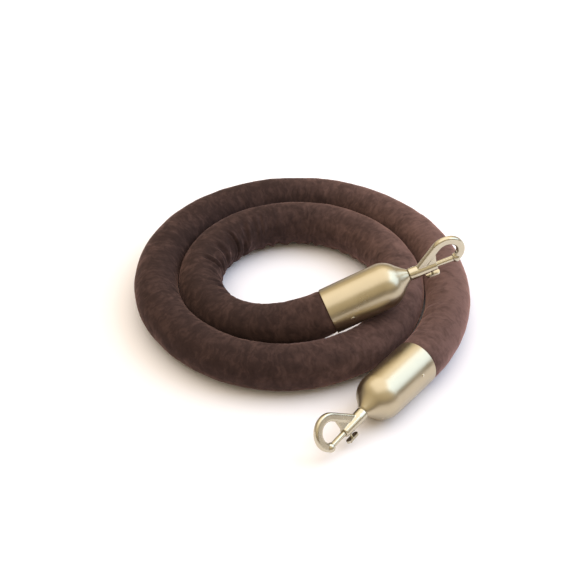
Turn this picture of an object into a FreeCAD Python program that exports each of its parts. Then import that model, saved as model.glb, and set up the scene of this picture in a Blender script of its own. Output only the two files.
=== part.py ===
import FreeCAD, Part
import math
import os

import Sketcher
from FreeCAD import Placement, Rotation, Vector

# A velvet barrier rope, lying on the floor in a flat coil of nearly two turns.
# +Z is up and the origin is on the floor, under the middle of the whole rope.
# End "a" is the inner end, which climbs onto the turn beside it.
# End "b" is the outer end, which lies on the floor.
#
# Each end is built on a frame of its own. Z runs along the cap, from the mouth
# where the rope goes in to the neck where the hook comes out, and X points the
# way the hook's loop stands. The hook hangs down a little from that line about a
# pivot in the neck, and its own pieces count Z along it from a start of their own.

# Driving dimensions: alias, value in millimetres or degrees, what it is.
DIMENSIONS = [
    ("rope_radius", 18.7, "outside of the velvet"),
    ("cover_wall", 1.2, "velvet and its backing"),
    ("cord_radius", 4.0, "braided cord down the middle"),
    ("coil_x", -9.7, "middle of the coil"),
    ("coil_y", 25.0, "middle of the coil"),
    ("coil_start", 67.0, "coil's radius where the first turn begins"),
    ("coil_pitch", 37.8, "growth of the coil's radius in one turn"),
    ("coil_hug", 0.967, "rope's radius over that of its route's corners"),
    ("mouth_a_x", 30.95, "mouth of cap a, from the middle of the coil"),
    ("mouth_a_y", -63.1, "mouth of cap a, from the middle of the coil"),
    ("mouth_a_z", 41.2, "height of the mouth of cap a"),
    ("heading_a", 15.0, "way that cap a points, from +X"),
    ("tilt_a", 20.2, "rise of cap a above the floor's plane"),
    ("lead_a", 26.0, "first run of the route, out of cap a"),
    ("droop_a", 5.5, "how far hook a hangs down from the line of its cap"),
    ("roll_a", 3.0, "turn of hook a from loop up"),
    ("brad_turn_a", 0.0, "place of the first brad round cap a"),
    ("mouth_b_x", 101.0, "mouth of cap b, from the middle of the coil"),
    ("mouth_b_y", -100.05, "mouth of cap b, from the middle of the coil"),
    ("heading_b", -129.1, "way that cap b points, from +X"),
    ("lead_b", 38.0, "last run of the route, into cap b"),
    ("droop_b", 8.0, "how far hook b hangs down from the line of its cap"),
    ("roll_b", 29.0, "turn of hook b from loop up"),
    ("brad_turn_b", -155.0, "place of the first brad round cap b"),
    ("cap_radius", 19.15, "outside of the cap"),
    ("cap_wall", 0.8, "cap's metal"),
    ("cap_rim", 0.4, "rounding of the cap's mouth"),
    ("cap_straight", 48.3, "mouth to the start of the dome"),
    ("hollow_start", 12.8, "cap's outside where the dome gives way to a hollow"),
    ("cap_hollow", 60.0, "curve of the hollow between dome and neck"),
    ("neck_radius", 5.0, "outside of the neck's rounded end"),
    ("neck_bore", 2.58, "waist of the hole that the hook's stem turns in"),
    ("neck_mouth", 3.5, "the same hole at its two ends"),
    ("pivot_depth", 65.85, "mouth to the hole's waist, where the hook leans and turns"),
    ("nose_depth", 60.5, "mouth to the flat seat inside the nose"),
    ("brad_depth", 16.0, "mouth to the brads"),
    ("brad_radius", 0.75, "brad's shank"),
    ("brad_head_radius", 1.5, "brad's head"),
    ("brad_head_height", 0.5, "brad's head"),
    ("brad_bite", 8.0, "length of brad inside the cap's outer face"),
    ("brad_count", 2, "brads round one cap"),
    ("plug_start", 3.0, "mouth to the wooden plug"),
    ("plug_end", 44.0, "mouth to the plug's inner face"),
    ("ferrule_radius", 6.5, "crimped sleeve on the cord"),
    ("ferrule_end", 51.0, "mouth to the far end of the ferrule"),
    ("cord_end", 53.0, "mouth to the cord's cut end"),
    ("washer_radius", 6.5, "swivel washer"),
    ("washer_bore", 3.6, "swivel washer"),
    ("washer_thick", 0.8, "swivel washer"),
    ("head_gap", 0.75, "washer to the stem's head, which lets the hook droop"),
    ("hook_start", 70.0, "mouth to where the hook's pieces count from, less the droop"),
    ("stem_radius", 2.5, "hook's stem"),
    ("head_radius", 4.4, "peened head on the stem"),
    ("head_thick", 2.3, "peened head on the stem"),
    ("collar_gap", 0.15, "neck's rounded end to the hollow seat in the collar"),
    ("collar_radius", 5.2, "barrel's thick end, by the neck"),
    ("collar_lip", 0.6, "rounding of the collar's edge"),
    ("collar_end", 8.0, "hook's start to the end of the barrel's thick part"),
    ("barrel_radius", 4.1, "barrel's open end"),
    ("barrel_length", 25.6, "hook's start to the barrel's open end"),
    ("bore_radius", 2.35, "hole that the bolt slides in"),
    ("bore_start", 6.0, "hook's start to the blind end of the bore"),
    ("arm_start", 10.2, "hook's start to where the arm leaves the barrel"),
    ("arm_offset", 1.3, "arm's middle from the axis at its start"),
    ("loop_centre_z", 36.1, "hook's start to the middle of the loop's bend"),
    ("loop_centre_x", 9.8, "axis to the middle of the loop's bend"),
    ("loop_radius", 11.7, "middle line of the loop's bend"),
    ("loop_deep", 3.4, "half the loop's section, in its own plane"),
    ("loop_wide", 2.5, "half the loop's section, across its plane"),
    ("loop_corner", 1.7, "rounding of the loop's section"),
    ("web_thick", 4.0, "plate between arm and barrel"),
    ("web_slope", 0.85, "rise of the web's corner off the axis, over its run along it"),
    ("web_front", 1.0, "how far the web runs on past the barrel's end, at the arm"),
    ("nose_start", 40.0, "hook's start to the nose that takes the bolt"),
    ("nose_radius", 3.3, "nose that takes the bolt"),
    ("knob_radius", 3.9, "rounded end of the loop, behind the nose"),
    ("nose_hole", 2.1, "depth of the bolt's seat in the nose"),
    ("bolt_radius", 2.27, "sliding bolt"),
    ("bolt_start", 18.0, "hook's start to the bolt's inner end"),
    ("bolt_end", 41.5, "hook's start to the bolt's tip"),
    ("bolt_tip", 1.2, "rounding of the bolt's tip"),
    ("bolt_travel", 8.0, "how far the bolt draws back"),
    ("stud_place", 21.0, "hook's start to the thumb stud"),
    ("stud_radius", 1.0, "thumb stud's stem"),
    ("stud_root", 0.8, "axis to the inner end of the stud's stem"),
    ("stud_reach", 7.5, "axis to the underside of the thumb pad"),
    ("stud_play", 0.08, "gap between the stud and its slot"),
    ("pad_thick", 1.8, "thumb pad"),
    ("pad_wide", 5.0, "thumb pad"),
    ("pad_long", 12.0, "thumb pad"),
    ("pad_lip", 1.1, "radius of the lip on the thumb pad"),
    ("wire_radius", 0.25, "spring's wire"),
    ("spring_radius", 1.85, "middle of the spring's wire"),
    ("spring_turns", 6, "turns of the spring"),
]

COIL_POINTS_PER_TURN = 12
COIL_FIRST_POINT = 1
COIL_LAST_POINT = 21
# Height of the first coil points above the floor-lying rope, as end a climbs.
CLIMB = {1: 5.0, 2: 1.0}
ARC_SHARE = 0.45


class Size:
    """A number together with the spreadsheet formula that gives it."""

    def __init__(self, value, formula):
        self.value = float(value)
        self.formula = formula

    def join(self, other, sign, value):
        return Size(value, f"({self.formula} {sign} {as_size(other).formula})")

    def __add__(self, other):
        return self.join(other, "+", self.value + as_size(other).value)

    def __sub__(self, other):
        return self.join(other, "-", self.value - as_size(other).value)

    def __mul__(self, other):
        return self.join(other, "*", self.value * as_size(other).value)

    def __truediv__(self, other):
        return self.join(other, "/", self.value / as_size(other).value)

    def __neg__(self):
        return as_size(0) - self


def as_size(number):
    if isinstance(number, Size):
        return number
    return Size(number, repr(float(number)))


class Sheet:
    """The driving dimensions, each as an attribute that is a Size."""

    def __init__(self, document):
        cells = document.addObject("Spreadsheet::Sheet", "Dims")
        for row, (alias, value, note) in enumerate(DIMENSIONS, start=1):
            cells.set(f"A{row}", note)
            cells.set(f"B{row}", str(value))
            cells.setAlias(f"B{row}", alias)
            setattr(self, alias, Size(value, f"Dims.{alias}"))
        document.recompute()


doc = FreeCAD.newDocument("velvet_barrier_rope")
size = Sheet(doc)


def root_of(number):
    """Square root of a Size, as a Size."""
    return Size(math.sqrt(number.value), f"sqrt({number.formula})")


# ---------------------------------------------------------------- sketches

def arc_between(start, end, radius):
    """Arc from start to end; a positive radius turns left on the way."""
    chord = end - start
    left = Vector(-chord.y, chord.x, 0).normalize()
    rise = math.sqrt(radius * radius - chord.Length * chord.Length / 4)
    centre = (start + end) / 2 + left * math.copysign(rise, radius)
    circle = Part.Circle(centre, Vector(0, 0, 1), abs(radius))
    first, last = (start, end) if radius > 0 else (end, start)
    return Part.ArcOfCircle(circle, circle.parameter(first), circle.parameter(last))


def hold(sketch, kind, geometry, vertex, number):
    """Tie one coordinate of a sketch point to the spreadsheet."""
    axis = {"DistanceX": -2, "DistanceY": -1}[kind]
    if number.value == 0:
        sketch.addConstraint(Sketcher.Constraint("PointOnObject", geometry, vertex, axis))
        return
    index = sketch.addConstraint(
        Sketcher.Constraint(kind, -1, 1, geometry, vertex, number.value)
    )
    sketch.setExpression(f"Constraints[{index}]", number.formula)


def draw(sketch, corners, closed=True):
    """Draw lines and arcs through corners, each (x, y) or, for an arc that ends
    there, (x, y, radius), and tie every size to the spreadsheet."""
    corners = [tuple(as_size(number) for number in corner) for corner in corners]
    points = [Vector(corner[0].value, corner[1].value, 0) for corner in corners]
    edges = []
    for index in range(0 if closed else 1, len(corners)):
        start, end = points[index - 1], points[index]
        vertices = (1, 2)
        if len(corners[index]) == 3:
            radius = corners[index][2]
            geometry = sketch.addGeometry(arc_between(start, end, radius.value), False)
            vertices = (1, 2) if radius.value > 0 else (2, 1)
            tie = sketch.addConstraint(
                Sketcher.Constraint("Radius", geometry, abs(radius.value))
            )
            sketch.setExpression(f"Constraints[{tie}]", f"abs({radius.formula})")
        else:
            geometry = sketch.addGeometry(Part.LineSegment(start, end), False)
        edges.append((geometry, vertices, corners[index]))
    previous = edges[-1] if closed else None
    for geometry, vertices, corner in edges:
        if previous:
            sketch.addConstraint(
                Sketcher.Constraint("Coincident", previous[0], previous[1][1], geometry, vertices[0])
            )
        else:
            hold(sketch, "DistanceX", geometry, vertices[0], corners[0][0])
            hold(sketch, "DistanceY", geometry, vertices[0], corners[0][1])
        hold(sketch, "DistanceX", geometry, vertices[1], corner[0])
        hold(sketch, "DistanceY", geometry, vertices[1], corner[1])
        previous = (geometry, vertices, corner)


def origin_plane(body, role):
    for feature in body.Origin.OriginFeatures:
        if feature.Role == role:
            return feature
    raise RuntimeError(f"{body.Label} has no {role}")


def body_sketch(body, name, role):
    sketch = body.newObject("Sketcher::SketchObject", name)
    sketch.AttachmentSupport = [(origin_plane(body, role), "")]
    sketch.MapMode = "FlatFace"
    return sketch


def side_sketch(name, corners, closed=True):
    """A free sketch in the XZ plane: its X is X and its Y is Z."""
    sketch = doc.addObject("Sketcher::SketchObject", name)
    sketch.Placement = Placement(Vector(), Rotation(Vector(1, 0, 0), 90))
    draw(sketch, corners, closed)
    return sketch


def turned_body(label, corners):
    """A body turned about Z from a half outline of (radius, z) corners."""
    body = doc.addObject("PartDesign::Body", label)
    body.Label = label
    sketch = body_sketch(body, f"{label}_outline", "XZ_Plane")
    draw(sketch, corners)
    turning = body.newObject("PartDesign::Revolution", f"{label}_turning")
    turning.Profile = sketch
    turning.ReferenceAxis = (sketch, ["V_Axis"])
    turning.Angle = 360
    doc.recompute()
    return body


def drill_for_brads(body):
    """Holes through the wall on Y, spaced evenly round Z, for the brads."""
    before = body.Shape.Volume
    sketch = body_sketch(body, f"{body.Label}_brad_hole", "XZ_Plane")
    circle = sketch.addGeometry(
        Part.Circle(Vector(0, size.brad_depth.value, 0), Vector(0, 0, 1), size.brad_radius.value),
        False,
    )
    hold(sketch, "DistanceX", circle, 3, as_size(0))
    hold(sketch, "DistanceY", circle, 3, size.brad_depth)
    tie = sketch.addConstraint(Sketcher.Constraint("Radius", circle, size.brad_radius.value))
    sketch.setExpression(f"Constraints[{tie}]", size.brad_radius.formula)
    pocket = body.newObject("PartDesign::Pocket", f"{body.Label}_brad_pocket")
    pocket.Profile = sketch
    # The cut starts at the brad's tip and runs out through the wall on +Y.
    sketch.AttachmentOffset = Placement(Vector(0, 0, -brad_tip_radius().value), Rotation())
    sketch.setExpression("AttachmentOffset.Base.z", (-brad_tip_radius()).formula)
    pocket.Type = 0
    pocket.setExpression("Length", (size.cap_radius + 1).formula)
    pocket.Reversed = False
    doc.recompute()
    pattern = body.newObject("PartDesign::PolarPattern", f"{body.Label}_brad_holes")
    pattern.Originals = [pocket]
    pattern.Axis = (origin_plane(body, "Z_Axis"), [""])
    pattern.Angle = 360
    pattern.setExpression("Occurrences", size.brad_count.formula)
    body.Tip = pattern
    doc.recompute()
    removed = before - body.Shape.Volume
    print(f"{body.Label}: brad holes remove {removed:.1f} mm3")
    if removed < 1:
        raise RuntimeError(f"{body.Label}: the brad holes cut nothing")


def brad_tip_radius():
    return size.cap_radius - size.brad_bite


def neck_edge():
    """Mouth to where the cap's hollow meets the neck's rounded end."""
    outer = size.cap_radius
    rise = root_of(outer * outer - size.hollow_start * size.hollow_start)
    grow = (outer + size.cap_hollow) / outer
    side = size.hollow_start * grow - size.neck_radius
    back = root_of(size.cap_hollow * size.cap_hollow - side * side)
    return size.cap_straight + rise * grow - back


def neck_ball():
    """Radius of the neck's rounded end, about the hook's pivot."""
    long = neck_edge() - size.pivot_depth
    return root_of(long * long + size.neck_radius * size.neck_radius)


def on_ball(ball, radius):
    """Pivot to a ball's surface along the axis, at some radius from the axis."""
    return root_of(ball * ball - radius * radius)


# ------------------------------------------------------------- part helpers

def cylinder(name, radius, length, start):
    """A cylinder along Z from start."""
    item = doc.addObject("Part::Cylinder", name)
    item.setExpression("Radius", radius.formula)
    item.setExpression("Height", length.formula)
    item.setExpression("Placement.Base.z", start.formula)
    return item


def joined(kind, name, **links):
    item = doc.addObject(kind, name)
    for link, value in links.items():
        setattr(item, link, value)
    return item


def cut(name, base, tool):
    return joined("Part::Cut", name, Base=base, Tool=tool)


def fuse(name, *shapes):
    return joined("Part::MultiFuse", name, Shapes=list(shapes))


def upright(name, corners, thickness):
    """A plate standing in the XZ plane, thickness wide and centred on Y."""
    plate = doc.addObject("Part::Extrusion", name)
    plate.Base = side_sketch(f"{name}_outline", corners)
    plate.DirMode = "Custom"
    plate.Dir = Vector(0, 1, 0)
    plate.setExpression("LengthFwd", thickness.formula)
    plate.Symmetric = True
    plate.Solid = True
    return plate


def track(name, radius, low, high, inner, outer):
    """A slot-shaped bar along -X from inner to outer, between two Z places."""
    bar = doc.addObject("Part::Box", f"{name}_bar")
    bar.setExpression("Length", (outer - inner).formula)
    bar.setExpression("Width", (radius * 2).formula)
    bar.setExpression("Height", (high - low).formula)
    bar.setExpression("Placement.Base.x", (-outer).formula)
    bar.setExpression("Placement.Base.y", (-radius).formula)
    bar.setExpression("Placement.Base.z", low.formula)
    ends = []
    for side, place in (("low", low), ("high", high)):
        end = doc.addObject("Part::Cylinder", f"{name}_{side}")
        end.setExpression("Radius", radius.formula)
        end.setExpression("Height", (outer - inner).formula)
        end.Placement = Placement(Vector(), Rotation(Vector(0, 1, 0), -90))
        end.setExpression("Placement.Base.x", (-inner).formula)
        end.setExpression("Placement.Base.z", place.formula)
        ends.append(end)
    return fuse(name, bar, *ends)


# ------------------------------------------------------------------- frames

class End:
    """One end of the rope: its letter, where its mouth is and how it points."""

    def __init__(self, letter, mouth, heading, tilt, droop, roll, brad_turn):
        self.letter = letter
        self.mouth = mouth
        level = Vector(math.cos(math.radians(heading)), math.sin(math.radians(heading)), 0)
        rise = math.radians(tilt)
        self.axis = level * math.cos(rise) + Vector(0, 0, math.sin(rise))
        self.up = (Vector(0, 0, 1) - self.axis * self.axis.z).normalize()
        square = Rotation(self.up, self.axis.cross(self.up), self.axis, "ZXY")
        self.cap_place = Placement(mouth, square)
        self.brad_turn = Rotation(Vector(0, 0, 1), brad_turn)
        self.drilled_place = Placement(mouth, square * self.brad_turn)
        drooped = square * Rotation(Vector(0, 1, 0), -droop)
        self.hook_axis = drooped.multVec(Vector(0, 0, 1))
        self.pivot = mouth + self.axis * size.pivot_depth.value
        hook_root = self.pivot + self.hook_axis * (size.hook_start - size.pivot_depth).value
        self.hook_place = Placement(hook_root, drooped * Rotation(Vector(0, 0, 1), roll))
        self.loop_way = self.hook_place.Rotation.multVec(Vector(1, 0, 0))


COIL_CENTRE = Vector(size.coil_x.value, size.coil_y.value, 0)

END_A = End(
    "a",
    COIL_CENTRE + Vector(size.mouth_a_x.value, size.mouth_a_y.value, size.mouth_a_z.value),
    size.heading_a.value,
    size.tilt_a.value,
    size.droop_a.value,
    size.roll_a.value,
    size.brad_turn_a.value,
)
END_B = End(
    "b",
    COIL_CENTRE + Vector(size.mouth_b_x.value, size.mouth_b_y.value, size.cap_radius.value),
    size.heading_b.value,
    0.0,
    size.droop_b.value,
    size.roll_b.value,
    size.brad_turn_b.value,
)
ENDS = [END_A, END_B]


# --------------------------------------------------------------- rope route

def coil_point(number):
    """A corner of the route, outside the rope's own spiral middle line."""
    turn = number / COIL_POINTS_PER_TURN
    angle = math.radians(-90 - 360 * turn)
    radius = (size.coil_start + size.coil_pitch * turn).value / size.coil_hug.value
    height = size.rope_radius.value + CLIMB.get(number, 0)
    return COIL_CENTRE + Vector(radius * math.cos(angle), radius * math.sin(angle), height)


def route_points():
    """The rope's corners from the mouth of cap a to the mouth of cap b."""
    points = [END_A.mouth, END_A.mouth - END_A.axis * size.lead_a.value]
    for number in range(COIL_FIRST_POINT, COIL_LAST_POINT + 1):
        points.append(coil_point(number))
    points.append(END_B.mouth - END_B.axis * size.lead_b.value)
    points.append(END_B.mouth)
    return points


def rounded_path(points):
    """Straight runs joined by tangent arcs as large as the runs allow."""
    edges = []
    radii = []
    position = points[0]
    for before, corner, after in zip(points, points[1:], points[2:]):
        into = (corner - before).normalize()
        out = (after - corner).normalize()
        turn = into.getAngle(out)
        tangent = ARC_SHARE * min((corner - before).Length, (after - corner).Length)
        radius = tangent / math.tan(turn / 2)
        start = corner - into * tangent
        end = corner + out * tangent
        inward = (out - into).normalize()
        middle = corner + inward * (radius / math.cos(turn / 2) - radius)
        edges.append(Part.LineSegment(position, start).toShape())
        edges.append(Part.Arc(start, middle, end).toShape())
        radii.append(radius)
        position = end
    edges.append(Part.LineSegment(position, points[-1]).toShape())
    print("arc radii:", [round(radius, 1) for radius in radii])
    return Part.Wire(edges)


route = doc.addObject("Part::Feature", "rope_route")
route.Shape = rounded_path(route_points())
print(f"rope between the caps: {route.Shape.Length:.1f} mm")


def swept(name, radius):
    """A round bar of that radius along the route."""
    section = doc.addObject("Part::Circle", f"{name}_section")
    section.setExpression("Radius", radius.formula)
    way = Rotation(Vector(0, 0, 1), END_A.axis)
    section.Placement = Placement(END_A.mouth, way)
    sweep = doc.addObject("Part::Sweep", name)
    sweep.Sections = [section]
    sweep.Spine = (route, [f"Edge{number + 1}" for number in range(len(route.Shape.Edges))])
    sweep.Solid = True
    sweep.Frenet = False
    doc.recompute()
    expected = math.pi * radius.value ** 2 * route.Shape.Length
    print(f"{name}: volume {sweep.Shape.Volume:.0f}, section x length {expected:.0f}")
    if abs(sweep.Shape.Volume / expected - 1) > 0.002:
        raise RuntimeError(f"{name} isn't the size of its section times its length")
    return sweep


def inside_cap(end, name, radius, length, start=0):
    """A round bar inside one cap, from start along its axis."""
    bar = doc.addObject("Part::Cylinder", f"{name}_{end.letter}")
    bar.setExpression("Radius", as_size(radius).formula)
    bar.setExpression("Height", as_size(length).formula)
    bar.Placement = Placement(end.mouth + end.axis * as_size(start).value, end.cap_place.Rotation)
    return bar


def brad_holes(end):
    """Round bars where the brads of one cap go, to cut the cover with."""
    holes = []
    for number in range(int(size.brad_count.value)):
        hole = doc.addObject("Part::Cylinder", f"brad_hole_{end.letter}{number}")
        hole.setExpression("Radius", size.brad_radius.formula)
        hole.setExpression("Height", size.cap_radius.formula)
        hole.Placement = end.drilled_place * brad_place(number)
        holes.append(hole)
    return fuse(f"brad_holes_{end.letter}", *holes)


def brad_place(number):
    """Where a brad's axis leaves the cap's axis: its Z points outwards."""
    spread = Rotation(Vector(0, 0, 1), 360 / size.brad_count.value * number)
    outwards = Rotation(Vector(1, 0, 0), -90)
    return Placement(Vector(0, 0, size.brad_depth.value), spread * outwards)


# -------------------------------------------------------------- rope pieces

def velvet_cover():
    """The velvet sleeve, drawn in where it enters the caps."""
    inner = size.rope_radius - size.cover_wall
    tube = cut("cover_tube", swept("cover_outside", size.rope_radius), swept("cover_inside", inner))
    pieces = [tube]
    cap_inner = size.cap_radius - size.cap_wall
    for end in ENDS:
        outside = inside_cap(end, "sleeve_outside", cap_inner, size.plug_end)
        inside = inside_cap(end, "sleeve_inside", cap_inner - size.cover_wall, size.plug_end)
        sleeve = cut(f"sleeve_{end.letter}", outside, inside)
        pieces.append(cut(f"sleeve_drilled_{end.letter}", sleeve, brad_holes(end)))
    return fuse("velvet_cover", *pieces)


def core_filling():
    """The soft filling between the cover and the middle cord."""
    outside = swept("filling_outside", size.rope_radius - size.cover_wall)
    narrow = size.cap_radius - size.cap_wall - size.cover_wall
    stubs = [inside_cap(end, "filling_stub", narrow, size.plug_start) for end in ENDS]
    hole = swept("filling_hole", size.cord_radius)
    holes = [inside_cap(end, "filling_stub_hole", size.cord_radius, size.plug_start) for end in ENDS]
    return cut("core_filling", fuse("filling_solid", outside, *stubs), fuse("filling_way", hole, *holes))


def core_cord():
    """The braided cord that takes the pull, through both plugs."""
    tails = [inside_cap(end, "cord_tail", size.cord_radius, size.cord_end) for end in ENDS]
    return fuse("core_cord", swept("cord_run", size.cord_radius), *tails)


# --------------------------------------------------------------- end pieces

def end_cap(end):
    """The domed metal cap, turned, with the neck's bore and brad holes."""
    outer = size.cap_radius
    inner = size.cap_radius - size.cap_wall
    rim = size.cap_rim
    dome = size.cap_straight
    hollow_z = dome + root_of(outer * outer - size.hollow_start * size.hollow_start)
    ball = neck_ball()
    seat_x = root_of(inner * inner - (size.nose_depth - dome) * (size.nose_depth - dome))
    cap = turned_body(
        f"end_cap_{end.letter}",
        [
            (inner, 0),
            (outer - rim, 0),
            (outer, rim, rim),
            (outer, dome),
            (size.hollow_start, hollow_z, outer),
            (size.neck_radius, neck_edge(), -size.cap_hollow),
            (size.neck_mouth, size.pivot_depth + on_ball(ball, size.neck_mouth), ball),
            (size.neck_bore, size.pivot_depth),
            (size.neck_mouth, size.nose_depth),
            (seat_x, size.nose_depth),
            (inner, dome, -inner),
        ],
    )
    drill_for_brads(cap)
    cap.Placement = end.drilled_place
    return cap


def end_plug(end):
    """The wooden plug in the rope's end, bored for the cord."""
    outer = size.cap_radius - size.cap_wall - size.cover_wall
    plug = turned_body(
        f"end_plug_{end.letter}",
        [
            (size.cord_radius, size.plug_start),
            (outer, size.plug_start),
            (outer, size.plug_end),
            (size.cord_radius, size.plug_end),
        ],
    )
    drill_for_brads(plug)
    plug.Placement = end.drilled_place
    return plug


def cord_ferrule(end):
    """The crimped sleeve that stops the cord from pulling out of the plug."""
    crimp = size.ferrule_radius - 1
    ferrule = turned_body(
        f"cord_ferrule_{end.letter}",
        [
            (size.cord_radius, size.plug_end),
            (size.ferrule_radius, size.plug_end),
            (size.ferrule_radius, size.plug_end + 2),
            (crimp, size.plug_end + 3),
            (crimp, size.ferrule_end - 2),
            (size.ferrule_radius, size.ferrule_end - 1),
            (size.ferrule_radius, size.ferrule_end),
            (size.cord_radius, size.ferrule_end),
        ],
    )
    ferrule.Placement = end.cap_place
    return ferrule


def cap_brads(end):
    """The round-headed brads that pin the cap to the rope and its plug."""
    tip = brad_tip_radius()
    top = size.cap_radius + size.brad_head_height
    edge = size.brad_head_radius - size.brad_head_height * 0.8
    outline = [
        (0, tip),
        (size.brad_radius, tip + 1),
        (size.brad_radius, size.cap_radius),
        (size.brad_head_radius, size.cap_radius),
        (edge, top, size.brad_head_height * 1.2),
        (0, top),
    ]
    brads = []
    for number in range(int(size.brad_count.value)):
        brad = doc.addObject("Part::Revolution", f"brad_{end.letter}{number}")
        brad.Source = side_sketch(f"brad_{end.letter}{number}_outline", outline)
        brad.Axis = Vector(0, 0, 1)
        brad.Angle = 360
        brad.Solid = True
        brad.Placement = brad_place(number)
        brads.append(brad)
    group = joined("Part::Compound", f"cap_brads_{end.letter}", Links=brads)
    group.Placement = end.drilled_place
    return group


def swivel_washer(end):
    """The washer between the cap's nose and the stem's peened head."""
    low = size.nose_depth - size.washer_thick
    washer = turned_body(
        f"swivel_washer_{end.letter}",
        [
            (size.washer_bore, low),
            (size.washer_radius, low),
            (size.washer_radius, size.nose_depth),
            (size.washer_bore, size.nose_depth),
        ],
    )
    washer.Placement = end.cap_place
    return washer


# -------------------------------------------------------------- hook pieces

def turned_stem(letter):
    """Peened head, stem and barrel of the hook, as one turned bar."""
    head_top = size.nose_depth - size.washer_thick - size.head_gap - size.hook_start
    head_low = head_top - size.head_thick
    pivot = size.pivot_depth - size.hook_start
    seat = neck_ball() + size.collar_gap
    lip = size.collar_lip
    lip_x = size.collar_radius - lip
    lip_z = pivot + on_ball(seat, lip_x)
    return turned_body(
        f"hook_stem_{letter}",
        [
            (0, head_low),
            (size.head_radius - 1, head_low),
            (size.head_radius, head_low + 1, 1),
            (size.head_radius, head_top),
            (size.stem_radius, head_top),
            (size.stem_radius, pivot + on_ball(seat, size.stem_radius)),
            (lip_x, lip_z, -seat),
            (size.collar_radius, lip_z + lip, lip),
            (size.collar_radius, size.collar_end),
            (size.barrel_radius, size.barrel_length - 0.6),
            (size.barrel_radius - 0.6, size.barrel_length, 0.6),
            (0, size.barrel_length),
        ],
    )


def nose_middle():
    """Where the loop's bend comes back to the axis."""
    drop = size.loop_radius * size.loop_radius - size.loop_centre_x * size.loop_centre_x
    return size.loop_centre_z + root_of(drop)


def loop_bar(letter):
    """The bent bar of the hook: a straight arm, then a bend to the nose."""
    across = size.loop_centre_x - size.arm_offset
    along = size.loop_centre_z - size.arm_start
    reach = math.hypot(across.value, along.value)
    lean = math.atan2(across.value, along.value) + math.asin(size.loop_radius.value / reach)
    centre = Vector(size.loop_centre_x.value, 0, size.loop_centre_z.value)
    start = Vector(size.arm_offset.value, 0, size.arm_start.value)
    outward = Vector(math.cos(lean), 0, -math.sin(lean))
    touch = centre + outward * size.loop_radius.value
    far = centre + Vector(0, 0, size.loop_radius.value)
    end = Vector(0, 0, nose_middle().value)
    path = doc.addObject("Part::Feature", f"loop_path_{letter}")
    path.Shape = Part.Wire(
        [Part.LineSegment(start, touch).toShape(), Part.Arc(touch, far, end).toShape()]
    )
    wide, deep, corner = size.loop_wide, size.loop_deep, size.loop_corner
    section = doc.addObject("Sketcher::SketchObject", f"loop_section_{letter}")
    draw(
        section,
        [
            (wide, corner - deep, corner),
            (wide, deep - corner),
            (wide - corner, deep, corner),
            (corner - wide, deep),
            (-wide, deep - corner, corner),
            (-wide, corner - deep),
            (corner - wide, -deep, corner),
            (wide - corner, -deep),
        ],
    )
    way = (touch - start).normalize()
    section.Placement = Placement(start, Rotation(Vector(0, 1, 0), way.cross(Vector(0, 1, 0)), way, "ZXY"))
    bar = doc.addObject("Part::Sweep", f"loop_bar_{letter}")
    bar.Sections = [section]
    bar.Spine = (path, ["Edge1", "Edge2"])
    bar.Solid = True
    bar.Frenet = False
    return bar


def web_plate(letter):
    """The thin plate that fills the corner between the arm and the barrel."""
    inside = size.barrel_radius - 1
    corner = size.arm_offset + (size.barrel_length - size.arm_start) * size.web_slope
    return upright(
        f"web_{letter}",
        [
            (inside, size.arm_start + 2),
            (corner, size.barrel_length + size.web_front),
            (inside, size.barrel_length),
        ],
        size.web_thick,
    )


def hook_body(end):
    """The cast hook: stem, slotted barrel, web, loop and the bolt's nose."""
    letter = end.letter
    stem = turned_stem(letter)
    nose_long = nose_middle() - size.nose_start
    nose = cylinder(f"nose_{letter}", size.nose_radius, nose_long, size.nose_start)
    knob = doc.addObject("Part::Sphere", f"knob_{letter}")
    knob.setExpression("Radius", size.knob_radius.formula)
    knob.setExpression("Placement.Base.z", nose_middle().formula)
    solid = fuse(f"hook_solid_{letter}", stem, loop_bar(letter), web_plate(letter), nose, knob)
    bore = cylinder(
        f"bore_{letter}", size.bore_radius, size.nose_start - size.bore_start, size.bore_start
    )
    seat = cylinder(f"seat_{letter}", size.bore_radius, size.nose_hole, size.nose_start)
    play = size.stud_radius + size.stud_play
    slot = track(
        f"slot_{letter}",
        play,
        size.stud_place - size.bolt_travel,
        size.stud_place,
        size.stud_root,
        size.collar_radius + 2,
    )
    hook = cut(f"hook_body_{letter}", solid, fuse(f"hook_cuts_{letter}", bore, seat, slot))
    hook.Placement = end.hook_place
    return hook


def sliding_bolt(end):
    """The round bolt that closes the hook, with a cross hole for its stud."""
    letter = end.letter
    bar = turned_body(
        f"bolt_bar_{letter}",
        [
            (0, size.bolt_start),
            (size.bolt_radius, size.bolt_start),
            (size.bolt_radius, size.bolt_end - size.bolt_tip),
            (size.bolt_radius - size.bolt_tip, size.bolt_end, size.bolt_tip),
            (0, size.bolt_end),
        ],
    )
    hole = stud_stem(f"stud_hole_{letter}")
    bolt = cut(f"bolt_{letter}", bar, hole)
    bolt.Placement = end.hook_place
    return bolt


def stud_stem(name):
    stem = doc.addObject("Part::Cylinder", name)
    stem.setExpression("Radius", size.stud_radius.formula)
    stem.setExpression("Height", (size.stud_reach - size.stud_root).formula)
    stem.Placement = Placement(Vector(), Rotation(Vector(0, 1, 0), -90))
    stem.setExpression("Placement.Base.x", (-size.stud_root).formula)
    stem.setExpression("Placement.Base.z", size.stud_place.formula)
    return stem


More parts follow.
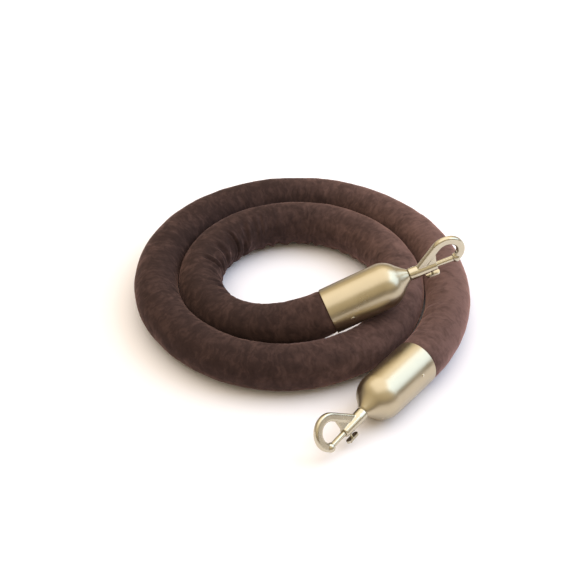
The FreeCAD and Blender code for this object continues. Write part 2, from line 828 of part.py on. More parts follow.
def thumb_stud(end):
    """The stud pressed into the bolt, with the pad that a thumb pulls."""
    letter = end.letter
    half = size.pad_wide / 2
    pad_middle = size.stud_place
    reach = size.pad_long / 2 - half
    pad = track(
        f"pad_{letter}",
        half,
        pad_middle - reach,
        pad_middle + reach,
        size.stud_reach,
        size.stud_reach + size.pad_thick,
    )
    lip = doc.addObject("Part::Cylinder", f"pad_lip_{letter}")
    lip.setExpression("Radius", size.pad_lip.formula)
    lip.setExpression("Height", (size.pad_wide - 2).formula)
    lip.Placement = Placement(Vector(), Rotation(Vector(1, 0, 0), -90))
    lip.setExpression("Placement.Base.x", (-(size.stud_reach + size.pad_thick)).formula)
    lip.setExpression("Placement.Base.y", (as_size(1) - half).formula)
    lip.setExpression("Placement.Base.z", (pad_middle + reach).formula)
    stud = fuse(f"thumb_stud_{letter}", stud_stem(f"stud_stem_{letter}"), pad, lip)
    stud.Placement = end.hook_place
    return stud


def bolt_spring(end):
    """The coil spring behind the bolt, at its length with the hook shut."""
    wire = size.wire_radius.value
    gap = 2 * wire
    low = size.bore_start.value + gap
    high = size.bolt_start.value - gap
    turns = size.spring_turns.value
    radius = size.spring_radius.value
    helix = Part.makeHelix((high - low) / turns, high - low, radius)
    circle = Part.Wire(Part.makeCircle(wire, Vector(radius, 0, 0), Vector(0, 1, 0)))
    spring = doc.addObject("Part::Feature", f"bolt_spring_{end.letter}")
    coil = Part.Wire(helix).makePipeShell([circle], True, True)
    spring.Shape = Part.Solid(coil.Shells[0]) if coil.ShapeType != "Solid" else coil
    spring.Placement = end.hook_place * Placement(Vector(0, 0, low), Rotation())
    return spring


# ------------------------------------------------------------ build and save

sub_parts = [velvet_cover(), core_filling(), core_cord()]
for rope_end in ENDS:
    for make in (
        end_cap,
        end_plug,
        cord_ferrule,
        cap_brads,
        swivel_washer,
        hook_body,
        sliding_bolt,
        thumb_stud,
        bolt_spring,
    ):
        sub_parts.append(make(rope_end))
doc.recompute()

for item in doc.Objects:
    if "Invalid" in item.State or "Error" in item.State:
        raise RuntimeError(f"{item.Label} failed: {item.State}")

os.makedirs("parts", exist_ok=True)
whole = FreeCAD.BoundBox()
for item in sub_parts:
    if item.Shape.isNull() or not item.Shape.isValid():
        raise RuntimeError(f"{item.Label} has no valid shape")
    whole.add(item.Shape.optimalBoundingBox(False, False))
    solids = len(item.Shape.Solids)
    print(f"{item.Label}: {solids} solid(s), {item.Shape.Volume:.1f} mm3")
    item.Shape.exportStep(f"parts/{item.Label}.step")

print("box:", [round(value, 2) for value in (whole.XMin, whole.YMin, whole.ZMin)],
      [round(value, 2) for value in (whole.XMax, whole.YMax, whole.ZMax)])
for rope_end in ENDS:
    print(f"end {rope_end.letter}: mouth {rope_end.mouth}, axis {rope_end.axis},",
          f"pivot {rope_end.pivot}, hook axis {rope_end.hook_axis}, loop {rope_end.loop_way}")
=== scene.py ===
import math

import bpy
import numpy as np
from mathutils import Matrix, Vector


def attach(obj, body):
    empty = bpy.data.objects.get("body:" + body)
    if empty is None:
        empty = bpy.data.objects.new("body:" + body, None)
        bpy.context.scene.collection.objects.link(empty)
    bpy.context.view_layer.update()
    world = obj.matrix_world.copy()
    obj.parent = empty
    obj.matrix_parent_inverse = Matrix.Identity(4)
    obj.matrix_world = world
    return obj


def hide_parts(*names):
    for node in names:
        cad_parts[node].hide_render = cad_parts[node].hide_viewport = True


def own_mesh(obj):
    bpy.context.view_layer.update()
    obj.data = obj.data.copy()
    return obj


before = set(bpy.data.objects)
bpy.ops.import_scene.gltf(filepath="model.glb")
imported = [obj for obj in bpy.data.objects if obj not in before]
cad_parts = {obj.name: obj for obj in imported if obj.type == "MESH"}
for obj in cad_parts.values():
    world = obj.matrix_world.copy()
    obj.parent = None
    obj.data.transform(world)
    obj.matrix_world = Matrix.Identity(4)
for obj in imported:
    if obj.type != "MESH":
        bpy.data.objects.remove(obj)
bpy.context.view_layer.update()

# A velvet barrier rope in a flat coil. Lengths are metres. Angles are degrees
# where math.radians reads them, and radians elsewhere. Angles round the rope run
# from the side towards the middle of the coil, up over the top.
# The route repeats the part's own route.
rng = np.random.default_rng(38)

ROPE_RADIUS = 0.0187
COIL_CENTRE = Vector((-0.0097, 0.025, 0))
COIL_START = 0.067
COIL_PITCH = 0.0378
# The spline keeps to this share of its points' distance from the middle.
COIL_HUG = 0.967
COIL_POINTS_PER_TURN = 12
COIL_FIRST_POINT = 1
COIL_LAST_POINT = 21
# How much higher the first points are, where the rope climbs to end a.
CLIMB = {1: 0.005, 2: 0.001}
MOUTH_A = COIL_CENTRE + Vector((0.03095, -0.0631, 0.0412))
MOUTH_B = COIL_CENTRE + Vector((0.101, -0.10005, 0.01915))
HEADING_A, TILT_A, LEAD_A = 15.0, 20.2, 0.026
HEADING_B, TILT_B, LEAD_B = -129.1, 0.0, 0.038
CAP_INNER_RADIUS = 0.01835
PLUG_RADIUS = 0.01715
PLUG_START = 0.003


def pointing(heading, tilt):
    """The unit vector with that heading from +X and that rise above level."""
    heading = math.radians(heading)
    tilt = math.radians(tilt)
    level = math.cos(tilt)
    return Vector((level * math.cos(heading), level * math.sin(heading), math.sin(tilt)))


AXIS_A = pointing(HEADING_A, TILT_A)
AXIS_B = pointing(HEADING_B, TILT_B)


# ------------------------------------------------------------------ camera

CAMERA_TARGET = COIL_CENTRE + Vector((-0.0016, 0.016, 0))
CAMERA_DISTANCE = 1.2
CAMERA_ELEVATION = 39.87
CAMERA_LENS = 85.9
CAMERA_NEAREST, CAMERA_FURTHEST = 0.05, 30


def link_object(name, data):
    made = bpy.data.objects.new(name, data)
    bpy.context.scene.collection.objects.link(made)
    return made


def make_camera():
    data = bpy.data.cameras.new("camera")
    data.lens = CAMERA_LENS
    data.clip_start = CAMERA_NEAREST
    data.clip_end = CAMERA_FURTHEST
    camera = link_object("camera", data)
    elevation = math.radians(CAMERA_ELEVATION)
    back = Vector((0, -math.cos(elevation), math.sin(elevation)))
    camera.location = CAMERA_TARGET + back * CAMERA_DISTANCE
    camera.rotation_mode = "QUATERNION"
    camera.rotation_quaternion = (-back).to_track_quat("-Z", "Y")
    bpy.context.scene.camera = camera


make_camera()


# ------------------------------------------------------------- rope's route

SPLINE_STEPS = 48


def coil_point(number):
    """A control point of the coil, which starts at the front and runs clockwise."""
    turn = number / COIL_POINTS_PER_TURN
    angle = math.radians(-90 - 360 * turn)
    radius = (COIL_START + COIL_PITCH * turn) / COIL_HUG
    height = ROPE_RADIUS + CLIMB.get(number, 0)
    return COIL_CENTRE + Vector((radius * math.cos(angle), radius * math.sin(angle), height))


def route_points():
    points = [MOUTH_A, MOUTH_A - AXIS_A * LEAD_A]
    for number in range(COIL_FIRST_POINT, COIL_LAST_POINT + 1):
        points.append(coil_point(number))
    points += [MOUTH_B - AXIS_B * LEAD_B, MOUTH_B]
    return points


def spline_line(points):
    """Points along one NURBS spline that has these control points."""
    data = bpy.data.curves.new("route", "CURVE")
    data.dimensions = "3D"
    data.resolution_u = SPLINE_STEPS
    spline = data.splines.new("NURBS")
    spline.points.add(len(points) - 1)
    for target, point in zip(spline.points, points):
        target.co = (*point, 1)
    spline.order_u = 3
    spline.use_endpoint_u = True
    curve = link_object("route", data)
    bpy.context.view_layer.update()
    mesh = bpy.data.meshes.new_from_object(curve)
    line = np.array([vertex.co for vertex in mesh.vertices])
    bpy.data.objects.remove(curve)
    bpy.data.meshes.remove(mesh)
    return line


def evenly(line, step):
    """The line's points again, spaced evenly about step apart, and their places."""
    places = np.concatenate([[0], np.cumsum(np.linalg.norm(np.diff(line, axis=0), axis=1))])
    count = round(places[-1] / step) + 1
    wanted = np.linspace(0, places[-1], count)
    even = np.stack([np.interp(wanted, places, line[:, axis]) for axis in range(3)], axis=1)
    return even, wanted


# ------------------------------------------------------------ mesh helpers

# Odd numbers that scatter the cells of the noise.
HASH_SEED = (7919, 17)
HASH_AXIS = 1103515245
HASH_STEP = 374761393
HASH_END = 1274126177
HASH_BITS = 0x7FFFFFFF


def smooth(low, high, value):
    """0 below low, 1 above high, and a soft slope between them."""
    share = np.clip((value - low) / (high - low), 0, 1)
    return share * share * (3 - 2 * share)


def steps_round(count):
    """That many angles, evenly round a whole turn."""
    return np.arange(count) * 2 * math.pi / count


def turned_from(middle, angles):
    """How far the angles are from middle, at most half a turn either way."""
    return (angles - middle + math.pi) % (2 * math.pi) - math.pi


def outwards(side, up, angles):
    """The directions at these angles round the rope, for each of its rings."""
    return side[:, None] * np.cos(angles)[:, None] + up[:, None] * np.sin(angles)[:, None]


def lattice_noise(points, cell, seed):
    """Smooth noise from -1 to 1 at points, its bumps about a cell wide."""
    scaled = points / cell
    base = np.floor(scaled).astype(np.int64)
    part = scaled - base
    part = part * part * (3 - 2 * part)
    total = np.zeros(scaled.shape[:-1])
    for corner in np.ndindex(*(2,) * scaled.shape[-1]):
        hashed = np.full(scaled.shape[:-1], seed * HASH_SEED[0] + HASH_SEED[1], np.int64)
        weight = np.ones(scaled.shape[:-1])
        for axis, step in enumerate(corner):
            hashed = (hashed * HASH_AXIS + (base[..., axis] + step) * HASH_STEP) & HASH_BITS
            hashed = hashed ^ (hashed >> 13)
            weight = weight * (part[..., axis] if step else 1 - part[..., axis])
        hashed = (hashed * HASH_END) & HASH_BITS
        total += weight * ((hashed >> 8) % 65536 / 32767.5 - 1)
    return total


def new_piece(name, vertices, faces, look, body):
    mesh = bpy.data.meshes.new(name)
    mesh.from_pydata([tuple(vertex) for vertex in vertices], [], faces)
    mesh.validate()
    mesh.shade_smooth()
    mesh.materials.append(look)
    piece = link_object(name, mesh)
    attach(piece, body)
    return piece


def tube_faces(rings, around):
    """Quads between rings of points that are stored one after another, and a
    face that closes each end."""
    faces = []
    for ring in range(rings - 1):
        for step in range(around):
            after = (step + 1) % around
            faces.append((
                ring * around + step,
                ring * around + after,
                (ring + 1) * around + after,
                (ring + 1) * around + step,
            ))
    last = (rings - 1) * around
    faces.append(tuple(range(around - 1, -1, -1)))
    faces.append(tuple(range(last, last + around)))
    return faces


# --------------------------------------------------------------- materials

class Nodes:
    """A short way to build a node tree."""

    def __init__(self, tree):
        self.tree = tree
        tree.nodes.clear()

    def add(self, kind, **settings):
        node = self.tree.nodes.new(f"ShaderNode{kind}")
        for name, value in settings.items():
            if hasattr(node, name):
                setattr(node, name, value)
            else:
                node.inputs[name.replace("_", " ")].default_value = value
        return node

    def link(self, output, target):
        self.tree.links.new(output, target)

    def math(self, operation, *values):
        node = self.add("Math", operation=operation)
        for value, target in zip(values, node.inputs):
            if isinstance(value, (int, float)):
                target.default_value = value
            else:
                self.link(value, target)
        return node.outputs[0]

    def ramp(self, value, *stops):
        node = self.add("ValToRGB")
        ramp = node.color_ramp
        while len(ramp.elements) < len(stops):
            ramp.elements.new(0.5)
        for element, (place, colour) in zip(ramp.elements, stops):
            element.position = place
            element.color = (*colour, 1)
        self.link(value, node.inputs[0])
        return node.outputs[0]


def material(name):
    made = bpy.data.materials.new(name)
    made.use_nodes = True
    nodes = Nodes(made.node_tree)
    output = nodes.add("OutputMaterial")
    shader = nodes.add("BsdfPrincipled")
    nodes.link(shader.outputs[0], output.inputs["Surface"])
    return made, nodes, shader


def grey(value):
    return (value, value, value)


# How much each pattern moves the lie of the nap.
NAP_PATCHES = 0.42
NAP_STREAKS = 0.30
NAP_PILE = 0.06
# The side at +X is painted paler, as painted light where the key lamp falls on that side:
# from one X to another, the nap's value rises from one lift to another.
PAINTED_LIGHT_X = (-0.03, 0.13)
PAINTED_LIGHT_LIFT = (0.12, 0.43)
NAP_STOPS = (0.34, 0.50, 0.64, 0.84)
NAP_COLOURS = (
    (0.024, 0.0140, 0.0130), (0.036, 0.0208, 0.0192), (0.066, 0.038, 0.034), (0.135, 0.078, 0.070),
)
NAP_SHEENS = (
    (0.15, 0.095, 0.09), (0.30, 0.185, 0.172), (0.66, 0.40, 0.37), (1.0, 0.60, 0.55),
)


def velvet_material():
    """Short-pile velvet: the nap lies this way and that in soft patches, and in
    streaks across the rope where the cover is crumpled."""
    made, nodes, shader = material("velvet")
    place = nodes.add("UVMap", uv_map="along")
    warp = nodes.add("TexNoise", Scale=9.0, Detail=2.0)
    nodes.link(place.outputs[0], warp.inputs["Vector"])
    bend = nodes.add("VectorMath", operation="MULTIPLY_ADD")
    nodes.link(warp.outputs["Color"], bend.inputs[0])
    bend.inputs[1].default_value = grey(0.10)
    nodes.link(place.outputs[0], bend.inputs[2])
    slant = nodes.add("Mapping", Rotation=(0, 0, 0.22), Scale=(1.0, 0.30, 1.0))
    nodes.link(bend.outputs[0], slant.inputs["Vector"])
    streaks = nodes.add("TexNoise", Scale=40.0, Detail=3.0, Roughness=0.5)
    nodes.link(slant.outputs[0], streaks.inputs["Vector"])
    patches = nodes.add("TexNoise", Scale=11.0, Detail=4.0, Roughness=0.6)
    nodes.link(bend.outputs[0], patches.inputs["Vector"])
    pile = nodes.add("TexNoise", Scale=520.0, Detail=1.0)
    nodes.link(place.outputs[0], pile.inputs["Vector"])
    spot = nodes.add("TexCoord")
    across = nodes.add("SeparateXYZ")
    nodes.link(spot.outputs["Object"], across.inputs[0])
    # Painted light: the nap's value rises towards +X, which lifts both the colour and the sheen tint on
    # that side.
    painted_light = nodes.add("MapRange")
    nodes.link(across.outputs["X"], painted_light.inputs["Value"])
    for index, value in enumerate((*PAINTED_LIGHT_X, *PAINTED_LIGHT_LIFT), start=1):
        painted_light.inputs[index].default_value = value
    nap = nodes.math("MULTIPLY", patches.outputs["Fac"], NAP_PATCHES)
    nap = nodes.math("ADD", nap, nodes.math("MULTIPLY", streaks.outputs["Fac"], NAP_STREAKS))
    nap = nodes.math("ADD", nap, nodes.math("MULTIPLY", pile.outputs["Fac"], NAP_PILE))
    nap = nodes.math("ADD", nap, painted_light.outputs["Result"])
    colour = nodes.ramp(nap, *zip(NAP_STOPS, NAP_COLOURS))
    sheen = nodes.ramp(nap, *zip(NAP_STOPS, NAP_SHEENS))
    nodes.link(colour, shader.inputs["Base Color"])
    nodes.link(sheen, shader.inputs["Sheen Tint"])
    shader.inputs["Roughness"].default_value = 0.9
    shader.inputs["Specular IOR Level"].default_value = 0.1
    shader.inputs["Sheen Weight"].default_value = 0.5
    shader.inputs["Sheen Roughness"].default_value = 0.4
    height = nodes.math("MULTIPLY", pile.outputs["Fac"], 0.08)
    height = nodes.math("ADD", streaks.outputs["Fac"], height)
    bump = nodes.add("Bump", Strength=0.28, Distance=0.0012)
    nodes.link(height, bump.inputs["Height"])
    nodes.link(bump.outputs[0], shader.inputs["Normal"])
    return made


def plated_material(name, colour, roughness, grain):
    """Satin plate on metal, with a fine grain and faint clouding."""
    made, nodes, shader = material(name)
    place = nodes.add("TexCoord")
    cloud = nodes.add("TexNoise", Scale=60.0, Detail=4.0)
    nodes.link(place.outputs["Object"], cloud.inputs["Vector"])
    fine = nodes.add("TexNoise", Scale=4200.0, Detail=2.0)
    nodes.link(place.outputs["Object"], fine.inputs["Vector"])
    clouding = cloud.outputs["Fac"]
    low = tuple(channel * 0.95 for channel in colour)
    high = tuple(min(1, channel * 1.04) for channel in colour)
    nodes.link(nodes.ramp(clouding, (0.3, low), (0.7, high)), shader.inputs["Base Color"])
    shader.inputs["Metallic"].default_value = 1.0
    satin, dull = grey(roughness * 0.88), grey(roughness * 1.12)
    nodes.link(nodes.ramp(clouding, (0.3, satin), (0.7, dull)), shader.inputs["Roughness"])
    bump = nodes.add("Bump", Strength=grain, Distance=0.00003)
    nodes.link(fine.outputs["Fac"], bump.inputs["Height"])
    nodes.link(bump.outputs[0], shader.inputs["Normal"])
    return made


def wood_material():
    """Turned beech, with fine wavy bands."""
    made, nodes, shader = material("turned_beech")
    place = nodes.add("TexCoord")
    stretch = nodes.add("Mapping", Scale=(1.0, 1.0, 6.0))
    nodes.link(place.outputs["Object"], stretch.inputs["Vector"])
    grain = nodes.add("TexWave", Scale=180.0, Distortion=6.0, Detail=3.0)
    nodes.link(stretch.outputs[0], grain.inputs["Vector"])
    dark, light = (0.46, 0.29, 0.15), (0.62, 0.43, 0.25)
    nodes.link(nodes.ramp(grain.outputs["Fac"], (0.0, dark), (1.0, light)), shader.inputs["Base Color"])
    shader.inputs["Roughness"].default_value = 0.6
    return made


def cotton_material(name, dark, light, size_of_fibre):
    """Cotton whose fibres are about that size."""
    made, nodes, shader = material(name)
    place = nodes.add("TexCoord")
    fibre = nodes.add("TexNoise", Scale=1 / size_of_fibre, Detail=6.0)
    nodes.link(place.outputs["Object"], fibre.inputs["Vector"])
    colour = nodes.ramp(fibre.outputs["Fac"], (0.35, dark), (0.65, light))
    nodes.link(colour, shader.inputs["Base Color"])
    shader.inputs["Roughness"].default_value = 0.95
    bump = nodes.add("Bump", Strength=0.8, Distance=size_of_fibre)
    nodes.link(fibre.outputs["Fac"], bump.inputs["Height"])
    nodes.link(bump.outputs[0], shader.inputs["Normal"])
    return made


VELVET = velvet_material()
CAP_GOLD = plated_material("cap_gold", (0.465, 0.405, 0.29), 0.31, 0.05)
HOOK_GOLD = plated_material("hook_gold", (0.53, 0.485, 0.375), 0.26, 0.05)
STEEL = plated_material("zinc_plated_steel", (0.58, 0.58, 0.57), 0.35, 0.3)
BEECH = wood_material()
WADDING = cotton_material("wadding", (0.55, 0.51, 0.44), (0.75, 0.71, 0.62), 0.002)
COTTON_CORD = cotton_material("cotton_cord", (0.58, 0.53, 0.43), (0.80, 0.75, 0.64), 0.0008)


# ------------------------------------------------------------------- velvet

# Places along the rope are measured from cap a's mouth.
RING_STEP = 0.0011
AROUND = 112
TUCK_START, TUCK_DEPTH = 0.0012, 0.012
TUCK_GAP, TUCK_FRONT_GAP = 0.0001, 0.0008
INNER_TURN_END = 0.50
FLOOR_GAP = 0.0004
DEEPEST = -0.0026
HIGHEST = 0.0014
# A pucker has a ridge on each side of its groove, in the groove's depths and widths.
RIDGE_HEIGHT, RIDGE_PLACE, RIDGE_WIDTH = 0.6, 1.6, 0.8
PUCKER_RANGE = 0.03
PUCKER_FREE_A, PUCKER_FREE_B = 0.03, 0.02
LEAST_FOLD, DEEP_FOLD = 0.00015, 0.0022
# The folds grow deep over the first pair of places, and shallow over the second.
FOLDS_GROW = (0.08, 0.13)
FOLDS_FADE = (0.21, 0.27)
# Creases: length along the rope, width round it, height, and noise seed.
CREASES = ((0.0042, 0.012, 0.00012, 21), (0.009, 0.016, 0.00026, 22))
CREASE_TWIST = 6
# Pleats: noise cells in the rope's radius, and the length of a cell.
PLEAT_CELLS, PLEAT_LENGTH = 9, 0.02
PLEAT_HEIGHT, PLEAT_FADE = 0.0005, 0.007
MOUTH_PINCH, PINCH_FADE = 0.0010, 0.0022
# The cover is pulled tight from cap a, fading over these places and angles.
TIGHT_ANGLE, TIGHT_DEPTH = -2.2, 0.0002
TIGHT_FADE, TIGHT_EDGE = (0.02, 0.07), (0.7, 1.4)
# Lumps of the filling: width, height, and noise seed.
LUMPS = ((0.045, 0.00030, 11), (0.016, 0.00020, 12))
# The turns touch: the inner one on its outside, up to the first places, and the
# outer one on its inside, from the second.
TOUCH_FADES, TOUCH_GROWS = (INNER_TURN_END, 0.62), (0.36, 0.48)
PRESSED_DEPTH, PRESSED_EDGE = 0.0001, (0.3, 0.6)
# The dent that cap a makes in the turn below it.
DENT_PLACE = Vector((0.036, -0.010, -0.0225))
DENT_RADIUS, DENT_DEPTH = 0.026, 0.0011
DENT_ANGLE, DENT_EDGE = 1.05, (0.35, 1.1)
UV_UNIT = 0.12
FILLING_STEP = 0.006
FILLING_AROUND = 32
COVER_THICKNESS = 0.0024


def ring_frames(centres):
    """The side towards the middle of the coil, and up, for each ring."""
    tangent = np.gradient(centres, axis=0)
    tangent /= np.linalg.norm(tangent, axis=1)[:, None]
    side = np.cross(tangent, (0, 0, 1))
    side /= np.linalg.norm(side, axis=1)[:, None]
    return side, np.cross(side, tangent)


def pucker(places, angles, place, middle, reach, width, depth, slant, hook=0.0):
    """One pucker of the cover: a groove across the rope between two ridges. It
    leans by slant and curves by hook as it runs out from its middle."""
    relief = np.zeros((len(places), len(angles)))
    near = np.abs(places - place) < PUCKER_RANGE
    offset = turned_from(middle, angles)
    along = places[near][:, None] - place - slant * offset - hook * offset * offset
    across = along / width
    groove = -np.exp(-across * across)
    ridge = RIDGE_HEIGHT * np.exp(-((np.abs(across) - RIDGE_PLACE) / RIDGE_WIDTH) ** 2)
    window = 1 - smooth(reach * 0.35, reach, np.abs(offset))
    relief[near] = depth * (groove + ridge) * window
    return relief


def fold_relief(places, angles):
    """Puckers on the inside of the bend: deep where the first turn is tightest,
    shallow further on, and small ones by the floor."""
    relief = np.zeros((len(places), len(angles)))
    place = PUCKER_FREE_A
    while place < places[-1] - PUCKER_FREE_B:
        tight = smooth(*FOLDS_GROW, place) * (1 - smooth(*FOLDS_FADE, place))
        depth = LEAST_FOLD + rng.uniform(0.0, 1.0) ** 0.6 * DEEP_FOLD * tight
        relief += pucker(
            places, angles, place,
            middle=math.radians(rng.uniform(8, 52)),
            reach=math.radians(rng.uniform(32, 70)),
            width=rng.uniform(0.0016, 0.0036),
            depth=depth,
            slant=rng.uniform(-0.001, 0.011),
            hook=rng.uniform(-0.006, 0.004),
        )
        place += rng.choice((0.0055, 0.009, 0.014)) * rng.uniform(0.8, 1.3)
    place = PUCKER_FREE_A
    while place < INNER_TURN_END:
        relief += pucker(
            places, angles, place,
            middle=math.radians(rng.uniform(-66, -40)),
            reach=math.radians(rng.uniform(26, 44)),
            width=rng.uniform(0.0020, 0.0045),
            depth=rng.uniform(0.0005, 0.0021),
            slant=rng.uniform(-0.003, 0.003),
        )
        place += rng.uniform(0.007, 0.021)
    return relief


def crumples(places, angles):
    """Low creases that run across the rope."""
    relief = np.zeros((len(places), len(angles)))
    for long, wide, height, seed in CREASES:
        twisted = angles + places[:, None] * CREASE_TWIST
        grid = np.stack(np.broadcast_arrays(
            places[:, None] / long,
            ROPE_RADIUS / wide * np.cos(twisted),
            ROPE_RADIUS / wide * np.sin(twisted),
        ), axis=-1)
        relief += height * lattice_noise(grid, 1.0, seed)
    return relief


def mouth_gathers(places, angles):
    """Small pleats where the cover is drawn in under the rim of each cap."""
    relief = np.zeros((len(places), len(angles)))
    for distance, seed in ((places, 3), (places[-1] - places, 5)):
        grid = np.stack(np.broadcast_arrays(
            distance[:, None] / PLEAT_LENGTH,
            PLEAT_CELLS * np.cos(angles),
            PLEAT_CELLS * np.sin(angles),
        ), axis=-1)
        pleats = lattice_noise(grid, 1.0, seed)
        relief += PLEAT_HEIGHT * pleats * np.exp(-distance / PLEAT_FADE)[:, None]
        relief -= MOUTH_PINCH * np.exp(-distance / PINCH_FADE)[:, None]
    # Beside cap a, the cover is pulled tight on the side that faces the next turn.
    offset = turned_from(TIGHT_ANGLE, angles)
    tight = (1 - smooth(*TIGHT_FADE, places))[:, None] * (1 - smooth(*TIGHT_EDGE, np.abs(offset)))
    return relief - TIGHT_DEPTH * tight


def surface_relief(centres, side, up, places, angles):
    """Height of the velvet's surface over a plain round rope."""
    points = centres[:, None] + outwards(side, up, angles) * ROPE_RADIUS
    lumps = sum(lattice_noise(points, width, seed) * height for width, height, seed in LUMPS)
    relief = fold_relief(places, angles) + mouth_gathers(places, angles) + crumples(places, angles)
    relief = np.clip(relief + lumps, DEEPEST, HIGHEST)
    # Where one turn lies against the next, the pile is pressed in.
    for touching, share in ((math.pi, 1 - smooth(*TOUCH_FADES, places)),
                            (0.0, smooth(*TOUCH_GROWS, places))):
        offset = turned_from(touching, angles)
        pressed = share[:, None] * (1 - smooth(*PRESSED_EDGE, np.abs(offset)))
        relief = relief * (1 - pressed) - PRESSED_DEPTH * pressed
    # Cap a has pressed down the turn that it lies over.
    dent = np.array(MOUTH_A + DENT_PLACE)
    near = np.exp(-((centres - dent) ** 2).sum(axis=1) / DENT_RADIUS ** 2)[:, None]
    offset = turned_from(DENT_ANGLE, angles)
    return relief - DENT_DEPTH * near * (1 - smooth(*DENT_EDGE, np.abs(offset)))


def tuck(mouth, axis, around):
    """Rings of the cover inside a cap, from just past its mouth to the turned
    end, back along the plug and closed in front of it."""
    side = np.cross(axis, (0, 0, 1))
    side /= np.linalg.norm(side)
    up = np.cross(side, axis)
    ring = side * np.cos(around)[:, None] + up * np.sin(around)[:, None]
    sleeve = CAP_INNER_RADIUS - TUCK_GAP
    inside = PLUG_RADIUS + TUCK_GAP
    front = PLUG_START - TUCK_FRONT_GAP
    steps = [(TUCK_START, sleeve), (TUCK_DEPTH * 0.5, sleeve), (TUCK_DEPTH, sleeve),
             (TUCK_DEPTH, inside), (TUCK_DEPTH * 0.5, inside), (front, inside),
             (front, inside * 0.5), (front, inside * 0.02)]
    return [np.array(mouth) + np.array(axis) * depth + ring * radius for depth, radius in steps]


def velvet_cover(line):
    """The cover as one closed sleeve, with the folds and dents of its surface."""
    centres, places = evenly(line, RING_STEP * (1))
    side, up = ring_frames(centres)
    angles = steps_round(AROUND)
    relief = surface_relief(centres, side, up, places, angles)
    surface = centres[:, None] + outwards(side, up, angles) * (ROPE_RADIUS + relief)[..., None]
    # The rope's weight lays it flat on the floor.
    surface[..., 2] = np.maximum(surface[..., 2], FLOOR_GAP)
    into_a = tuck(MOUTH_A, AXIS_A, -angles + math.pi)
    into_b = tuck(MOUTH_B, AXIS_B, angles)
    rings = [*into_a[::-1], *surface, *into_b]
    faces = tube_faces(len(rings), AROUND)
    piece = new_piece("velvet_sleeve", np.concatenate(rings), faces, VELVET, "rope")
    map_places(piece, rings, places)
    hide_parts("velvet_cover")


def map_places(piece, rings, places):
    """A UV map in even units, along the rope and round it, for the nap."""
    lead = len(rings) - len(places)
    along = np.concatenate([
        np.linspace(-TUCK_DEPTH, 0, lead // 2, endpoint=False),
        places,
        places[-1] + np.linspace(0, TUCK_DEPTH, lead - lead // 2),
    ])
    uv = piece.data.uv_layers.new(name="along")
    corners = np.zeros(len(piece.data.loops), np.int64)
    piece.data.loops.foreach_get("vertex_index", corners)
    ring, step = corners // AROUND, corners % AROUND
    starts = np.zeros(len(piece.data.polygons), np.int64)
    totals = np.zeros(len(piece.data.polygons), np.int64)
    piece.data.polygons.foreach_get("loop_start", starts)
    piece.data.polygons.foreach_get("loop_total", totals)
    # On the quads that close a ring, step 0 counts as a whole turn.
    highest = np.maximum.reduceat(step, starts)
    closes = np.repeat(highest == AROUND - 1, totals)
    step = np.where(closes & (step == 0), AROUND, step)
    around = step / AROUND * 2 * math.pi * ROPE_RADIUS
    uv.data.foreach_set("uv", np.stack([along[ring] / UV_UNIT, around / UV_UNIT], axis=1).ravel())


def filling(line):
    """The wadding inside the cover, which the sleeve hides."""
    centres, _ = evenly(line, FILLING_STEP)
    side, up = ring_frames(centres)
    spread = outwards(side, up, steps_round(FILLING_AROUND)) * (ROPE_RADIUS - COVER_THICKNESS)
    vertices = (centres[:, None] + spread).reshape(-1, 3)
    faces = tube_faces(len(centres), FILLING_AROUND)
    piece = new_piece("wadding", vertices, faces, WADDING, "rope")
    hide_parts("core_filling")


rope_line = spline_line(route_points())
velvet_cover(rope_line)
filling(rope_line)


# -------------------------------------------------------------------- hooks

CASTING_VOXEL = 0.0003
SOFTENING, SOFTENING_STEPS = 0.5, 8
FINISHES = {
    "end_cap": CAP_GOLD,
    "end_plug": BEECH,
    "cord_ferrule": STEEL,
    "cap_brads": HOOK_GOLD,
    "swivel_washer": STEEL,
    "bolt": HOOK_GOLD,
    "thumb_stud": HOOK_GOLD,
}


def copy_node(name, node):
    return link_object(name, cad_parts[node].data.copy())


def finish(piece, look):
    piece.data.materials.clear()
    piece.data.materials.append(look)


def hook_casting(letter):
    """The hook with its cast corners run together, as a smoothed copy."""
    casting = copy_node(f"hook_casting_{letter}", f"hook_body_{letter}")
    remesh = casting.modifiers.new("remesh", "REMESH")
    remesh.mode = "VOXEL"
    remesh.voxel_size = CASTING_VOXEL * 1
    remesh.use_smooth_shade = True
    soften = casting.modifiers.new("soften", "SMOOTH")
    soften.factor = SOFTENING
    soften.iterations = SOFTENING_STEPS
    bpy.context.view_layer.update()
    graph = bpy.context.evaluated_depsgraph_get()
    mesh = bpy.data.meshes.new_from_object(casting.evaluated_get(graph))
    casting.modifiers.clear()
    casting.data = mesh
    finish(casting, HOOK_GOLD)
    mesh.shade_smooth()
    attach(casting, f"hook_{letter}")
    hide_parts(f"hook_body_{letter}")


def squeezed_spring(letter):
    """The spring behind the bolt, as a copy with a mesh of its own."""
    spring = copy_node(f"coil_spring_{letter}", f"bolt_spring_{letter}")
    finish(spring, STEEL)
    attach(spring, f"hook_{letter}")
    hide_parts(f"bolt_spring_{letter}")
    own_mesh(spring)


for end in "ab":
    hook_casting(end)
    squeezed_spring(end)
    for kind, look in FINISHES.items():
        finish(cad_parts[f"{kind}_{end}"], look)
finish(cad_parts["core_cord"], COTTON_CORD)


# -------------------------------------------------------------------- stage

FLOOR_HALF = 6.0
FLOOR_COLOUR = (0.94, 0.925, 1.0, 1)
SKY_STRENGTH = 1.12
# The sky's colour by how far up one looks, and its share by how far back.
SKY_BY_RISE = (
    (0.0, (0.42, 0.355, 0.28)), (0.20, (0.46, 0.385, 0.30)),
    (0.46, (1.12, 0.93, 0.60)), (0.85, (1.12, 0.97, 0.70)),
)
SKY_FRONT, SKY_BACK = 0.62, 1.0


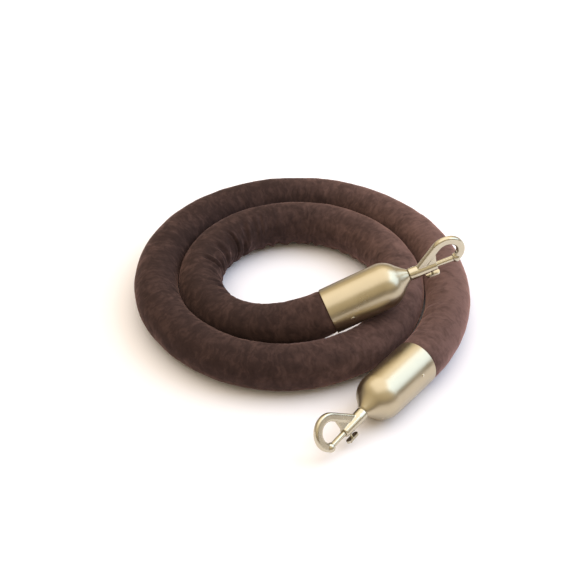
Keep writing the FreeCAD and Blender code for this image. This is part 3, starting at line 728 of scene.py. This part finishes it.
def floor():
    made, _, shader = material("floor")
    shader.inputs["Base Color"].default_value = FLOOR_COLOUR
    shader.inputs["Roughness"].default_value = 0.7
    shader.inputs["Specular IOR Level"].default_value = 0.1
    corners = [(-1, -1), (1, -1), (1, 1), (-1, 1)]
    mesh = bpy.data.meshes.new("floor")
    mesh.from_pydata([(x * FLOOR_HALF, y * FLOOR_HALF, 0) for x, y in corners], [], [(0, 1, 2, 3)])
    mesh.materials.append(made)
    plane = link_object("floor", mesh)


def soft_light(name, way, distance, width, height, power, colour):
    """A rectangle of light in that direction from the object. Its power is in watts."""
    data = bpy.data.lights.new(name, "AREA")
    data.shape = "RECTANGLE"
    data.size, data.size_y = width, height
    data.energy = power
    data.color = colour
    light = link_object(name, data)
    light.location = CAMERA_TARGET + Vector(way).normalized() * distance
    light.rotation_mode = "QUATERNION"
    light.rotation_quaternion = (-Vector(way)).to_track_quat("-Z", "Y")


def sky():
    """A pale studio: dark at the horizon, lighter behind the object and overhead."""
    world = bpy.data.worlds.new("studio")
    bpy.context.scene.world = world
    world.use_nodes = True
    nodes = Nodes(world.node_tree)
    output = nodes.add("OutputWorld")
    background = nodes.add("Background", Strength=SKY_STRENGTH)
    nodes.link(background.outputs[0], output.inputs["Surface"])
    place = nodes.add("TexCoord")
    split = nodes.add("SeparateXYZ")
    nodes.link(place.outputs["Generated"], split.inputs[0])
    rise = nodes.ramp(split.outputs["Z"], *SKY_BY_RISE)
    depth = nodes.math("MULTIPLY_ADD", split.outputs["Y"], 0.5, 0.5)
    back = nodes.ramp(depth, (0.0, grey(SKY_FRONT)), (1.0, grey(SKY_BACK)))
    mixed = nodes.add("Mix", data_type="RGBA", blend_type="MULTIPLY")
    mixed.inputs[0].default_value = 1.0
    nodes.link(rise, mixed.inputs["A"])
    nodes.link(back, mixed.inputs["B"])
    nodes.link(mixed.outputs["Result"], background.inputs["Color"])


floor()
sky()
soft_light(
    "key", way=(0.75, 0.156, 0.645), distance=1.7, width=1.7, height=1.3, power=17,
    colour=(0.42, 0.66, 1.0),
)
soft_light(
    "top", way=(-0.05, 0.12, 1.0), distance=2.2, width=3.2, height=3.2, power=29,
    colour=(1.0, 0.97, 0.98),
)
bpy.context.scene.view_settings.view_transform = "Standard"
